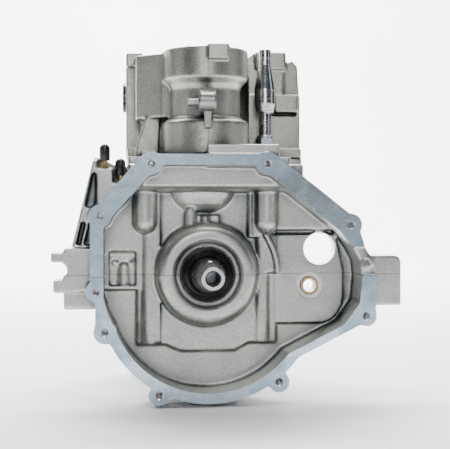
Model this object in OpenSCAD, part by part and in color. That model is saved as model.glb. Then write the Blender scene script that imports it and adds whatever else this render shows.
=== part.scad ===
// Manual transmission: a gear case split level with its shafts, with a bell housing in front,
// three forward speeds and a direct top, reverse, and a tall selector tower.
// +Y runs back along the shafts, +Z is up. The origin is on the input shaft's axis, in the bell's front face.

/* [Bell housing] */
// Depth from the bell's front face to its floor
floor_y = 45; // [40:0.5:46]
// Thickness of the bolting rim
rim_thick = 11; // [8:1:16]
// Inner radius of the bell's round lower half
bell_r = 100.5; // [99:0.5:102]
// Radius of the tapped holes in the rim
rim_hole_r = 3.4; // [3.3:0.05:4.2]
// Height of the rim's top edge over the shafts
rim_top = 122.5; // [121:0.5:122.5]

/* [Gear case] */
// Thickness of the gear case's walls
wall = 6; // [5:0.5:6]
// Thickness of the rear wall
rear_wall = 17; // [16.5:0.5:18]
// Lowest face of the sump cover
sump_z = -131; // [-134:0.5:-130.5]

/* [Gears] */
// Backlash of each pair of gears
backlash = 0.3; // [0.2:0.05:0.45]
// Face width of the main gears
face = 12; // [10:0.5:12]

/* [Tower] */
// Top of the tower's casting
tower_top = 234; // [230:1:238]
// Thickness of the tower's foot flange
foot_thick = 10; // [8:1:12]

/* [Selector] */
// Radius of the selector shaft
selector_r = 6.5; // [6:0.1:6.8]
// Radius of the shaft's swollen middle
belly_r = 11.4; // [9:0.1:12.5]
// Top of the selector shaft
selector_top = 240; // [230:1:245]

/* [Hidden] */
$fn = 64;

cast_grey = [0.66, 0.66, 0.63];
machined = [0.78, 0.80, 0.82];
steel = [0.55, 0.56, 0.58];
dark_steel = [0.30, 0.31, 0.33];
brass = [0.78, 0.60, 0.25];
bronze = [0.70, 0.48, 0.22];
black = [0.05, 0.05, 0.05];
far = 600;
gap = 0.05;     // running clearance of shafts in their bores
lap = 1;        // how far a cutter runs past the face it cuts

// ---------- helpers ----------
function arc(x, z, r, from, to, n) =
    [for (i = [0:n]) let (a = from + (to - from) * i / n) [x + r * cos(a), z + r * sin(a)]];
function shrunk(points, k, centre) = [for (p = points) centre + (p - centre) * k];

// A flat shape drawn in X and Z, pushed back along +Y from y
module back_from(y, length) translate([0, y + length, 0]) rotate([90, 0, 0]) linear_extrude(length) children();
module rod_y(x, z, y, length, r) translate([x, y, z]) rotate([-90, 0, 0]) cylinder(h = length, r = r);
module rod_z(x, y, z, length, r) translate([x, y, z]) cylinder(h = length, r = r);
module rod_x(y, z, x, length, r) translate([x, y, z]) rotate([0, 90, 0]) cylinder(h = length, r = r);
module block(x, y, z) translate([x[0], y[0], z[0]]) cube([x[1] - x[0], y[1] - y[0], z[1] - z[0]]);
module ring_y(x, z, y, length, r, bore) difference() {
    rod_y(x, z, y, length, r);
    rod_y(x, z, y - lap, length + 2 * lap, bore);
}
module hex_y(x, z, y, length, r) translate([x, y, z]) rotate([-90, 0, 0]) cylinder(h = length, r = r, $fn = 6);
module hex_z(x, y, z, length, r) translate([x, y, z]) cylinder(h = length, r = r, $fn = 6);
// A solid of revolution about an axis along Y; points are [radius, y]
module turned_y(x, z, points) translate([x, 0, z]) rotate([-90, 0, 0]) rotate_extrude() polygon(points);
module column(x, y, z, top, r) translate([x, y, 0]) rotate_extrude()
    polygon(concat([[0, z]], arc(0, z + r, r, -80, 0, 8), [[r, top], [0, top]]));
module upper_half() intersection() { children(); block([-far, far], [-far, far], [0, far]); }
module lower_half() intersection() { children(); block([-far, far], [-far, far], [-far, 0]); }

// ---------- layout ----------
// The rim's tapped holes: x, z and the radius of the boss round each
rim_bolts = [[-58, 113, 10.5], [58, 113, 10.5], [-109, 60.5, 10.5], [-113, -14.5, 10.5], [-104.5, -55, 10.5],
    [-51, -118.5, 10.5], [70, -107, 10.5], [160, -41.4, 10.5], [160, 12.6, 9], [143.5, 51.3, 10.5]];
bell_centre_z = -17;
outer_pts = concat([[-66, rim_top], [66, rim_top], [146, 60], [154, 42], [158, 30], [169.5, 12], [169.5, -44], [150, -52]],
    arc(0, bell_centre_z, bell_r + 10.5, -36, -152, 32), [[-114, -52], [-114, -26], [-119, -14], [-119, 62]]);
inner_pts = concat([[-50, 111.5], [50, 111.5], [64, 99], [132, 45.5], [144.5, 30], [153.5, 14], [155.5, -4],
    [153, -28], [137, -50]], arc(0, bell_centre_z, bell_r, -38, -153, 32), [[-101, -38], [-106, -22], [-106, 50],
    [-64, 97]]);
bell_middle = [22, 0];

case_front = 60;                       // front of the gear chamber
case_rear = 220;                       // back of the gear chamber
case_end = case_rear + rear_wall;
centre_distance = 70;
chamber_r = 50;
chamber_top = 84;
outer_r = chamber_r + wall;
flange_half = 78;
deck_z = 123;                          // top of the upper case, under the tower
gasket = 0.8;
tower_foot = deck_z + gasket;

gear_module = 2.5;
idler_x = -41.44;                      // 47.5 from the countershaft and 62.5 from the main axis
idler_z = -46.79;
idler_y = [188.5, 198];

seal_r = 28;
shaft_r = 17.5;
input_bearing_y = 40;
big_bearing = [17.5, 36, 17];          // bore radius, outer radius, width
small_bearing = [10, 21, 12];
counter_front_y = 48;

selector_x = 67.5;
selector_y = 84;
rails = [[24, 64], [0, 70], [-24, 64]];
rail_r = 6;
rail_y = [55, 228];
detent_y = 215;
detent_head_r = 6;

starter_hole = [119, 25.7];
starter_hole_r = 16.8;
bush = [108.2, -12.8];
nipples = [[-105, 50, 109.5], [-89, 50, 94.5]];
case_bolts_at = concat([for (y = [112, 150, 188, 228]) [68, y]], [for (y = [80, 118, 156, 228]) [-68, y]]);
tower_bolts_at = [[102, 149], [102, 175], [102, 205], [-73, 149], [-73, 175], [-73, 207]];
sump_screws_at = [for (x = [-38, 38]) for (y = [82, 121, 160, 198]) [x, y]];
cover_screws_at = [for (x = [-34, 62]) for (y = [132, 160, 188]) [x, y]];
retainer_bolts_at = [for (i = [0:5]) 47 * [cos(15 + 60 * i), sin(15 + 60 * i)]];
dowels_at = [[68, 96], [-68, 206]];

module along_x(x, length) translate([x, 0, 0]) rotate([90, 0, 90]) linear_extrude(length) children();

// ---------- bell housing ----------
module bell_shell() {
    difference() {
        union() {
            back_from(0, rim_thick) polygon(outer_pts);
            back_from(rim_thick - lap, case_front - rim_thick + lap) polygon(shrunk(outer_pts, 0.965, bell_middle));
            for (b = rim_bolts) rod_y(b[0], b[1], 0, 30, b[2]);
        }
        back_from(-lap, floor_y + lap) polygon(inner_pts);
    }
    for (i = [0, 1, 2, 4, 9]) rod_y(rim_bolts[i][0], rim_bolts[i][1], 0, floor_y, 11.5);
}

// The flared boss round the input shaft: [radius, y]
module input_boss() turned_y(0, 0, concat([[20, case_front - 2], [20, 27], [33, 27], [33.5, 23], [36.5, 20], [42, 20]],
    [for (i = [1:8]) let (a = i * 10) [42 + 11 * sin(a), 32 - 12 * cos(a)]], [[55, floor_y], [55, case_front - 2]]));

main_pad = [[-72, 88], [-72, -73], [-43, -73], [-27, -80], [30, -80], [44, -72], [73, -72], [73, 88]];
right_pad = concat([[72, 41], [72, -52]], arc(118, -26, 26, -90, 0, 8), [[144, 3], [137, 36], [134, 41]]);
upper_right_pad = [[72, 90], [72, 46], [138, 46], [100, 90]];

module floor_relief() {
    back_from(floor_y - 3, 4) polygon(main_pad);
    back_from(floor_y - 5, 6) polygon(right_pad);
    back_from(floor_y - 12, 13) polygon(upper_right_pad);
    rod_z(-59, floor_y + 1, -73, 118, 9.5);
    rod_z(58.5, floor_y, -72, 117, 8);
    block([-56, -48], [37, 46], [-70, 86]);
    input_boss();
    block([60, 73], [37, 46], [1, 40]);
    // fin that follows the boss on the right
    intersection() {
        difference() {
            rod_y(0, 0, 30, 16, 76);
            rod_y(0, 0, 29, 18, 71);
        }
        block([58, 80], [29, 47], [1, 40]);
    }
}

module upper_relief() {
    // the shelf across the top and the round bowl below it
    along_x(-82, 179) polygon([[13, 91], [13, 113], [floor_y + lap, 113], [floor_y + lap, 85], [25, 86], [17, 88]]);
    translate([-4.5, 70, 0]) rotate_extrude()
        polygon(concat([[0, 57.5]], [for (z = [58.5, 62, 67, 73, 80]) [45 * sqrt(1 - pow((90 - z) / 36, 2)), z]],
            [[45, 90], [0, 90]]));
    // columns of the case, and the oil galleries
    column(-64, 37, 42, 90, 12.2);
    column(62.5, 37, 41, 90, 12.4);
    column(-17, 38, 44, 68, 5.5);
    column(-2, 34, 50, 60, 3.5);
    block([43, 46], [27, 46], [38, 90]);
    // webs that join the bowl and the columns to the pad behind them
    block([-23, 13], [36, 46], [44, 61]);
    block([45, 56], [35, 46], [38, 90]);
}

// Ribbed pocket on the left of the boss
module left_pocket() {
    difference() {
        block([-104, -69], [floor_y - 5, floor_y + 12], [-16, 30]);
        block([-101, -73], [floor_y - 6, floor_y + 9], [-12, 26]);
    }
    along_x(-102, 30) polygon([[floor_y - 5, 27], [floor_y + 10, 27], [floor_y + 10, 9]]);
    rod_z(-85.5, floor_y + 3, -13, 24, 6.5);
    for (x = [-95, -76]) {
        rod_z(x, floor_y + 4, -13, 30, 3.5);
        rod_z(x, floor_y + 3, 9, 5, 5);
    }
}

module rim_cuts() {
    for (b = rim_bolts) rod_y(b[0], b[1], -lap, 25 + lap, rim_hole_r);
    // the rim steps back by hand of the starter
    back_from(-lap, lap + 1.5) polygon([[140, 0.02], [140, 30], [175, 30], [175, 0.02]]);
}

// ---------- gear case ----------
module chamber() {
    rod_y(0, -centre_distance, case_front, case_rear - case_front, chamber_r);
    block([-chamber_r, chamber_r], [case_front, case_rear], [-centre_distance, chamber_top]);
    rod_y(idler_x, idler_z, 187, case_rear - 187, 30);
    // pocket for the selector finger
    block([45, 82], [selector_y - 14, selector_y + 14], [52, chamber_top]);
}
module case_outside() {
    rod_y(0, -centre_distance, case_front - 2, case_end - case_front + 2, outer_r);
    block([-outer_r, outer_r], [case_front - 2, case_end], [-centre_distance, chamber_top + wall]);
    rod_y(idler_x, idler_z, 181, case_end - 181, 36);
    // flanges that clamp the halves together
    block([-flange_half, flange_half], [case_front - 2, case_end], [-14, 12]);
    // ribs across the flanges
    for (y = [99, 137, 175, 213]) block([-flange_half, flange_half], [y - 2.5, y + 2.5], [-40, 38]);
}
module web_round_idler() difference() {
    union() {
        rod_y(idler_x, idler_z, 176, 10.5, 12);
        block([-53, idler_x], [176, 186.5], [idler_z - 8, idler_z + 8]);
    }
    rod_y(idler_x, idler_z, 170, 20, 8);
}
module shaft_bores() {
    rod_y(0, 0, 0, input_bearing_y + lap, seal_r);
    rod_y(0, 0, input_bearing_y, 30, big_bearing[1]);
    rod_y(0, 0, case_rear - lap, rear_wall + 2 * lap, big_bearing[1]);
    rod_y(0, -centre_distance, counter_front_y, 20, small_bearing[1]);
    rod_y(0, -centre_distance, case_rear - lap, small_bearing[2] + lap, small_bearing[1]);
    rod_y(idler_x, idler_z, case_rear - lap, 9, 8);
}
module right_lug() difference() {
    back_from(22, 36) polygon(concat([[158, -33]], [[202, -33]], arc(194, 11.5, 8, 0, 90, 6), [[158, 19.5]]));
    for (z = [8, -22]) rod_x(40, z, 180, 30, 3.4);
}

module lower_case() color(cast_grey) difference() {
    union() {
        lower_half() {
            difference() {
                union() {
                    bell_shell();
                    floor_relief();
                    left_pocket();
                    case_outside();
                    right_lug();
                }
                chamber();
                shaft_bores();
            }
        }
        web_round_idler();
        // ears on the left
        back_from(26, 32) polygon([[-110, 0], [-147, 0], [-147, -5], [-157, -5], [-157, -16], [-155.8, -17.5],
            [-132, -17.5], [-110, -12]]);
        back_from(38, 20) polygon([[-108, -10], [-147, -10], [-147, -36], [-116, -36], [-108, -30]]);
        difference() {
            block([-46, 46], [74, 206], [sump_z + 4, -100]);
            rod_y(0, -centre_distance, 70, 140, chamber_r);
        }
    }
    rim_cuts();
    block([-30, 30], [90, 190], [sump_z, -108]);
    for (p = sump_screws_at) rod_z(p[0], p[1], sump_z, 16, 3 + gap);
    for (p = case_bolts_at) rod_z(p[0], p[1], -24, 24 + lap, 4 + gap);
    for (p = dowels_at) rod_z(p[0], p[1], -9, 10, 4);
    rod_y(bush[0], bush[1], 0, far, 9.4);
    rod_y(bush[0], bush[1], 0, floor_y - 4.4, 13);
    rod_z(-152, 42, -30, 40, 3.25);
    for (p = retainer_bolts_at) if (p[1] < -1) rod_y(p[0], p[1], 226, 20, 3 + gap);
    rod_x(150, -52, 40, 30, 9);
    rod_y(-20, -104, case_rear - 5, 40, 7);
}

upper_block = [[-56, 60], [-81, 92], [-81, deck_z], [110, deck_z], [110, 97], [82, 80], [56, 60]];
pod = [[-140, 24], [-117, 118], [-113, 118], [-113, 109.5], [-97, 109.5], [-97, 94.5], [-80, 94.5], [-80, 84],
    [-60, 84], [-60, 24]];

module breather_pod() {
    difference() {
        union() {
            back_from(40, 52) polygon(pod);
            back_from(62, 30) polygon([[-117.5, 116], [-116, 122], [-110, 121], [-92, 112], [-74, 112], [-74, 80], [-117, 80]]);
        }
        back_from(39, 14) polygon([[-125.5, 70], [-118, 104], [-113.5, 106], [-113.5, 74], [-117, 68]]);
        back_from(39, 12) polygon([[-134.5, 30], [-129, 54], [-124, 54], [-130, 30]]);
        back_from(39, 12) polygon([[-126.5, 30], [-121, 54], [-110, 54], [-110, 30]]);
        block([-112, -72], [64, 84], [36, 78]);
    }
    for (n = nipples) rod_z(n[0], 49, 60, n[2] - 60, 9);
}

module upper_case() color(cast_grey) difference() {
    union() {
        upper_half() difference() {
            union() {
                bell_shell();
                floor_relief();
                left_pocket();
                upper_relief();
                case_outside();
                right_lug();
                breather_pod();
                back_from(96, 118) polygon(upper_block);
                back_from(20, 78) polygon([[-66, 92], [-66, 118], [-62, deck_z], [70, deck_z], [76, 112], [76, 92]]);
                block([-81, 92], [case_front - 2, 100], [78, deck_z]);
                block([50, 90], [selector_y - 24, selector_y + 20], [40, deck_z]);
                // ledge above the rim, and the boss that carries the selector shaft
                block([-1.5, 71.5], [5, 17], [110, 133]);
                rod_z(selector_x, selector_y, 90, 42, 15);
                // upper ear on the left
                back_from(26, 32) polygon([[-110, 0], [-110, 27.5], [-146, 27.5], [-146, 23.5], [-159, 23.5],
                    [-159, 13.5], [-148, 13.5], [-143, 8], [-143, 0]]);
            }
            chamber();
            shaft_bores();
        }
        // bosses that carry the shift rails
        difference() {
            union() {
                for (r = rails) rod_y(r[0], r[1], case_front - 2, 7, rail_r + 4.5);
                block([-34, 34], [210, case_rear + 2], [54, chamber_top + 2]);
            }
            rod_y(0, 0, case_front - 4, far, big_bearing[1] + 2);
        }
    }
    rim_cuts();
    block([-74, 103], [104, 206], [98, deck_z + lap]);
    block([-44, 44], [104, 200], [80, 99]);
    rod_z(-4.5, 70, 92, 40, 36);
    rod_y(starter_hole[0], starter_hole[1], -lap, 90, starter_hole_r);
    back_from(floor_y - 13, 21) polygon([[74, 41.2], [74, 42.6], [108, 42.6], [108, 41.2]]);
    for (r = rails) {
        rod_y(r[0], r[1], 46.5, 30, rail_r + gap);
        rod_y(r[0], r[1], 200, 36, rail_r + gap);
        rod_z(r[0], detent_y, r[1], 40, 4 + gap);
        rod_z(r[0], detent_y, chamber_top + wall, far, detent_head_r + 0.4);
    }
    rod_z(selector_x, selector_y, 44, 100, selector_r + gap);
    for (n = nipples) rod_z(n[0], n[1], n[2] - 12, 20, 3);
    rod_y(nipples[0][0], 90, 52, 20, 2.5);
    rod_z(-152, 42, -2, 40, 3.25);
    for (p = case_bolts_at) rod_z(p[0], p[1], -lap, 12 + 2 * lap, 4 + gap);
    for (p = dowels_at) rod_z(p[0], p[1], -lap, 9, 4);
    for (p = tower_bolts_at) rod_z(p[0], p[1], deck_z - 18, 20, 3 + gap);
    for (p = retainer_bolts_at) if (p[1] > 1) rod_y(p[0], p[1], 226, 20, 3 + gap);
}

// ---------- selector tower ----------
tower_x = 1;
tower_y = 66;

// The waisted round front of the tower
module tower_neck() translate([tower_x, tower_y, 0]) rotate_extrude(convexity = 4)
    polygon([[0, tower_foot], [46, tower_foot], [46, 157], [43.5, 160], [37, 163], [37, 192], [39, 197],
        [45, 203], [45, tower_top], [0, tower_top]]);

module tower_front_details() {
    block([-0.5, 21.5], [15, 60], [220.2, tower_top + 1.2]);
    // angled panel on the left
    linear_height = 232 - 164;
    translate([0, 0, 164]) linear_extrude(linear_height)
        polygon([[-33, 63], [-46, 66], [-72, 85], [-72, 122], [-33, 122]]);
    back_from(76, 10) polygon([[-74, tower_foot], [-48, tower_foot], [-46, 166], [-62, 166], [-66, 152], [-71, 140]]);
    block([-66, -52], [46, 86], [tower_foot, tower_foot + 4]);
    // edge plate on the left with its square top
    back_from(128, 14) polygon([[-82.5, tower_foot], [-82.5, 238], [-60, 238], [-60, tower_foot]]);
    block([-82.5, -64], [120, 146], [225, 240]);
}
module tower_wing() {
    back_from(106, 14) polygon([[40, tower_foot + foot_thick], [110, tower_foot + foot_thick], [110, 194], [40, 194]]);
    back_from(111, 9) polygon([[40, 190], [110, 190], [108, 226], [102, 233], [97, 230], [94.5, 232], [94, 241],
        [60, 241], [40, 226]]);
    block([60, 94], [104, 120], [222, 241]);
    block([81, 107.5], [102, 110], [174.5, 193.5]);
}
module selector_tower() color(cast_grey) difference() {
    union() {
        tower_neck();
        block([-36, 38], [tower_y, 114], [tower_foot, tower_top]);
        block([30, 45], [88, 112], [tower_foot, 226]);
        block([-66, 92], [108, 200], [tower_foot, 228]);
        block([-81, 110], [96, 214], [tower_foot, tower_foot + foot_thick]);
        tower_front_details();
        tower_wing();
        rod_x(158, 194, -80, 20, 19);
        for (y = [136, 162, 188]) block([-70, 96], [y - 2.5, y + 2.5], [tower_foot, 222]);
        for (x = [-40, 0, 40, 76]) block([x - 2.5, x + 2.5], [198, 205], [tower_foot, 222]);
    }
    rod_z(tower_x, tower_y, tower_foot - lap, 104, 30);
    block([-59, 85], [116, 193], [tower_foot - lap, 221]);
    block([-24, 52], [60, 120], [tower_foot - lap, 214]);
    block([-24, 52], [136, 184], [200, far]);
    back_from(101, 12) polygon([[76, 171], [76, 174.4], [106, 174.4], [106, 171]]);
    rod_x(158, 194, -80 - lap, 30, 12);
    for (p = tower_bolts_at) rod_z(p[0], p[1], tower_foot - lap, foot_thick + 2 * lap, 3 + gap);
    for (p = cover_screws_at) rod_z(p[0], p[1], 214, 20, 3 + gap);
    rod_z(selector_x, selector_y, tower_foot - lap, 150, 15.5);
}

module tower_gasket() color(dark_steel) difference() {
    union() {
        block([-81, 110], [96, 214], [deck_z, tower_foot]);
        rod_z(tower_x, tower_y, deck_z, gasket, 46);
        block([-36, 38], [tower_y, 100], [deck_z, tower_foot]);
    }
    rod_z(tower_x, tower_y, deck_z - lap, gasket + 2 * lap, 34);
    block([-66, 92], [110, 200], [deck_z - lap, tower_foot + lap]);
    block([-24, 52], [60, 120], [deck_z - lap, tower_foot + lap]);
    for (p = tower_bolts_at) rod_z(p[0], p[1], deck_z - lap, gasket + 2 * lap, 3.5);
    rod_z(selector_x, selector_y, deck_z - lap, gasket + 2 * lap, 15.5);
}

cover_z = 228;
module top_cover() color(cast_grey) difference() {
    union() {
        block([-42, 70], [124, 196], [cover_z, cover_z + 5]);
        block([-10, 38], [142, 178], [cover_z, cover_z + 9]);
    }
    for (p = cover_screws_at) rod_z(p[0], p[1], cover_z - lap, 5 + 2 * lap, 3 + gap);
}

module sump_cover() color(dark_steel) difference() {
    union() {
        block([-46, 46], [74, 206], [sump_z, sump_z + 4]);
        block([-24, 24], [94, 186], [sump_z + 4, sump_z + 5.5]);
    }
    for (p = sump_screws_at) rod_z(p[0], p[1], sump_z - lap, 4 + 2 * lap, 3 + gap);
    for (p = sump_screws_at) rod_z(p[0], p[1], sump_z - lap, 2.6 + lap, 6);
}

module side_cap() color(black) difference() {
    union() {
        rod_x(158, 194, -86, 6, 16.5);
        rod_x(158, 194, -80, 8, 12);
    }
    rod_x(158, 194, -86 - lap, 2.5 + lap, 12.5);
}

// Hose clip on the front of the tower's neck
module clip_bracket() color(dark_steel) {
    clip_y = 17;
    clip_z = 177.5;
    rod_x(clip_y, clip_z, -9.5, 16.5, 11.5);
    rod_x(clip_y, clip_z - 1.5, -22, 14, 4);
    block([-6, 6], [clip_y + 4, tower_y - 37.2], [clip_z - 8, clip_z + 8]);
    block([-4.5, 3.5], [15, 18], [150, clip_z]);
}

// ---------- fixings ----------
module bolt_z(x, y, seat, shank, r, head_r, head) {
    rod_z(x, y, seat - shank, shank, r);
    rod_z(x, y, seat, head * 0.2, head_r * 1.18);
    hex_z(x, y, seat, head, head_r);
}
module m6_bolts() color(steel) {
    for (p = tower_bolts_at) bolt_z(p[0], p[1], tower_foot + foot_thick, 24, 3, 5.6, 6);
    for (p = cover_screws_at) bolt_z(p[0], p[1], cover_z + 5, 16, 3, 5.6, 6);
    // low heads, sunk in the sump cover
    for (p = sump_screws_at) {
        rod_z(p[0], p[1], sump_z + 2.6, 12, 3);
        hex_z(p[0], p[1], sump_z + 0.2, 2.4, 5.6);
    }
    for (p = retainer_bolts_at) {
        rod_y(p[0], p[1], retainer_y - 10, 16, 3);
        rod_y(p[0], p[1], retainer_y + 6, 1.2, 6.6);
        hex_y(p[0], p[1], retainer_y + 6, 6, 5.6);
    }
}
module case_bolts() color(steel) for (p = case_bolts_at) bolt_z(p[0], p[1], 12, 34, 4, 7.2, 8);
module dowel_pins() color(steel) for (p = dowels_at) rod_z(p[0], p[1], -8.5, 16, 4);
module drain_plug() color(brass) {
    rod_y(-20, -104, 222, case_end - 222, 7);
    rod_y(-20, -104, case_end, 2, 11);
    hex_y(-20, -104, case_end + 2, 8, 9);
}
module filler_plug() color(brass) {
    rod_x(150, -52, 47, outer_r - 47, 9);
    rod_x(150, -52, outer_r, 2, 13.5);
    translate([outer_r + 2, 150, -52]) rotate([0, 90, 0]) cylinder(h = 8, r = 11, $fn = 6);
}
module gland_nut() color(machined) difference() {
    union() {
        hex_z(selector_x, selector_y, 133, 11.5, 10.6);
        rod_z(selector_x, selector_y, 132, 1, 12);
        rod_z(selector_x, selector_y, 144.5, 2.5, 8.5);
    }
    rod_z(selector_x, selector_y, 130, 20, selector_r + gap);
}

// ---------- seals, bearings and retainer ----------
retainer_y = case_end;
seal_y = [27, 37];
output_seal_y = [retainer_y + 1.5, retainer_y + 10.5];

module rear_retainer() color(cast_grey) difference() {
    union() {
        rod_y(0, 0, retainer_y, 6, 55);
        rod_y(0, 0, retainer_y, 11, 36);
    }
    rod_y(0, 0, retainer_y - lap, 20, 30);
    for (p = retainer_bolts_at) rod_y(p[0], p[1], retainer_y - lap, 8 + lap, 3 + gap);
}
// Lipped seal with ribs on its face: y is the outer face's, facing -Y
module lip_seal(y, outer, bore, turn) turned_y(0, 0, [for (p = [[outer, 0], [outer, 10], [outer - 2, 10],
    [outer - 2, 3.5], [bore + 4, 3.5], [bore + 3, 9], [bore + gap, 7.5], [bore + gap, 6.5], [bore + 1.5, 0.5],
    [bore + 4, 1], [bore + 5, 2], [outer - 3, 2], [outer - 2, 0]]) [p[0], y + turn * p[1]]]);
module input_seal() color(black) lip_seal(seal_y[0], seal_r, shaft_r, 1);
module output_seal() color(black) lip_seal(output_seal_y[1], 30, 22, -1);

function ball_r(b) = (b[1] - b[0]) * 0.3;
function pitch_r(b) = (b[1] + b[0]) / 2;
module outer_race(x, z, y, b) difference() {
    ring_y(x, z, y, b[2], b[1], pitch_r(b) + ball_r(b) * 0.62);
    translate([x, y + b[2] / 2, z]) rotate([-90, 0, 0]) rotate_extrude() translate([pitch_r(b), 0]) circle(ball_r(b) + gap);
}
module inner_race(x, z, y, b) difference() {
    ring_y(x, z, y, b[2], pitch_r(b) - ball_r(b) * 0.62, b[0]);
    translate([x, y + b[2] / 2, z]) rotate([-90, 0, 0]) rotate_extrude() translate([pitch_r(b), 0]) circle(ball_r(b) + gap);
}
module balls(x, z, y, b, n) for (i = [0:n - 1])
    translate([x + pitch_r(b) * cos(360 * i / n), y + b[2] / 2, z + pitch_r(b) * sin(360 * i / n)]) sphere(ball_r(b));

counter_bearing_ys = [counter_front_y, case_rear];
module input_bearing_outer() color(steel) outer_race(0, 0, input_bearing_y, big_bearing);
module output_bearing_outer() color(steel) outer_race(0, 0, case_rear, big_bearing);
module counter_bearing_outers() color(steel)
    for (y = counter_bearing_ys) outer_race(0, -centre_distance, y, small_bearing);
module input_bearing_inner() color(steel) inner_race(0, 0, input_bearing_y, big_bearing);
module output_bearing_inner() color(steel) inner_race(0, 0, case_rear, big_bearing);
module counter_bearing_inners() color(steel)
    for (y = counter_bearing_ys) inner_race(0, -centre_distance, y, small_bearing);
module input_bearing_balls() color(machined) balls(0, 0, input_bearing_y, big_bearing, 9);
module output_bearing_balls() color(machined) balls(0, 0, case_rear, big_bearing, 9);
module counter_bearing_balls() color(machined)
    for (y = counter_bearing_ys) balls(0, -centre_distance, y, small_bearing, 8);

module bronze_bush() color(bronze) difference() {
    rod_y(bush[0], bush[1], floor_y - 7, 20, 9.4);
    rod_y(bush[0], bush[1], floor_y - 8, 24, 6.7);
}
module hose_nipples() color(brass) for (n = nipples) difference() {
    union() {
        rod_z(n[0], n[1], n[2] - 8, 22, 3);
        rod_z(n[0], n[1], n[2], 1.2, 4);
    }
    rod_z(n[0], n[1], n[2] - 9, 24, 1.6);
}
module nipple_caps() color(black) for (n = nipples) translate([n[0], n[1], n[2]]) rotate_extrude()
    polygon(concat([[3, 8], [5.4, 8], [5.4, 13], [5, 15]], arc(0, 20, 5.5, -20, 90, 9), [[0, 15.5], [3, 15.5]]));
module idler_shaft() color(steel) rod_y(idler_x, idler_z, 176, case_rear + 8 - 176, 8);
module detent_plugs() color(steel) for (r = rails) {
    rod_z(r[0], detent_y, r[1] + 13, chamber_top + wall - r[1] - 13, 4);
    hex_z(r[0], detent_y, chamber_top + wall, 4, detent_head_r);
}
module detent_balls() color(machined) for (r = rails) translate([r[0], detent_y, r[1] + 4.4 + 4.05]) sphere(4);

// ---------- gears ----------
pressure_angle = 20;
function involute(r, base) = r <= base ? 0 : tan(acos(base / r)) - acos(base / r) * PI / 180;
// Half the angle that a tooth fills at radius r
function tooth_half(r, pitch) = let (base = pitch * cos(pressure_angle))
    (PI * gear_module / 2 - backlash / 2) / pitch * 90 / PI
    + (involute(pitch, base) - involute(r, base)) * 180 / PI;
module gear_outline(teeth, phase) {
    pitch = gear_module * teeth / 2;
    base = pitch * cos(pressure_angle);
    root = pitch - 1.25 * gear_module;
    tip = pitch + gear_module;
    radii = [root, max(base, root + 0.3), pitch, (pitch + tip) / 2, tip];
    polygon([for (k = [0:teeth - 1]) let (mid = phase + 360 * k / teeth)
        for (j = [0:9]) let (r = radii[j < 5 ? j : 9 - j], side = j < 5 ? -1 : 1,
            a = mid + side * tooth_half(max(r, base), pitch)) r * [cos(a), sin(a)]]);
}
module gear(x, z, y, width, teeth, phase, bore) difference() {
    translate([x, 0, z]) back_from(y, width) gear_outline(teeth, phase);
    rod_y(x, z, y - lap, width + 2 * lap, bore);
}
main_phase = -90;                                  // a tooth points straight down
function counter_phase(teeth) = 90 + 180 / teeth;  // and a gap straight up

main_teeth = [20, 25, 30, 36, 30];                 // input, third, second, first, reverse
counter_teeth = [36, 31, 26, 20, 18];
gear_ys = [64, 112, 127, 173, idler_y[0]];
mainshaft_r = 14;
dog_r = 29.7;
cone_r = 25;

// Angles of the reverse train's two lines of centres, seen from the idler
to_main = atan2(-idler_z, -idler_x);
to_counter = atan2(-centre_distance - idler_z, -idler_x);
idler_teeth = 20;
idler_pitch_angle = 360 / idler_teeth;
idler_lead = (to_main - to_counter) - idler_pitch_angle * floor((to_main - to_counter) / idler_pitch_angle);
counter_reverse_phase = to_counter + 180 - idler_lead * idler_teeth / counter_teeth[4] + 180 / counter_teeth[4];
main_reverse_phase = to_main + 180 + 180 / main_teeth[4];

module input_shaft() color(dark_steel) difference() {
    union() {
        turned_y(0, 0, [[0, -35], [11.5, -35], [shaft_r, 14], [shaft_r, 57], [22, 57], [22, 64], [21, 64], [21, 78.9],
            [dog_r, 78.9], [dog_r, 82.3], [cone_r, 82.3], [cone_r - 0.4, 86], [0, 86]]);
        gear(0, 0, gear_ys[0], 13, main_teeth[0], main_phase, 20);
    }
    rod_y(0, 0, -36, 43, 6.4);
    rod_y(0, 0, -36, 3, 7.8);
    rod_y(0, 0, 66, 21, 11);
    // keyway in the taper
    block([-2, 2], [-12, 4], [12.2, 20]);
}
module pilot_bush() color(bronze) ring_y(0, 0, 68, 16, 11, 9);

module countershaft() color(steel) turned_y(0, -centre_distance, [[0, counter_front_y + 0.5], [10, counter_front_y + 0.5],
    [10, 60.5], [mainshaft_r, 60.5], [mainshaft_r, 219.5], [10, 219.5], [10, case_rear + 11.5], [0, case_rear + 11.5]]);
module counter_gears() color(steel) {
    for (i = [0:3]) gear(0, -centre_distance, gear_ys[i] + (i == 1 ? 0.5 : 0), i == 1 ? 11 : 12.5 - (i == 2 ? 1 : 0),
        counter_teeth[i], counter_phase(counter_teeth[i]), mainshaft_r);
    gear(0, -centre_distance, idler_y[0], idler_y[1] - idler_y[0], counter_teeth[4], counter_reverse_phase, mainshaft_r);
}

module mainshaft() color(steel) turned_y(0, 0, [[0, 67], [9 - gap, 67], [9 - gap, 86.6], [mainshaft_r, 86.6],
    [mainshaft_r, 216], [20, 216], [20, case_rear], [shaft_r, case_rear], [shaft_r, retainer_y + 19],
    [12, retainer_y + 19], [12, retainer_y + 38], [0, retainer_y + 38]]);

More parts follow.
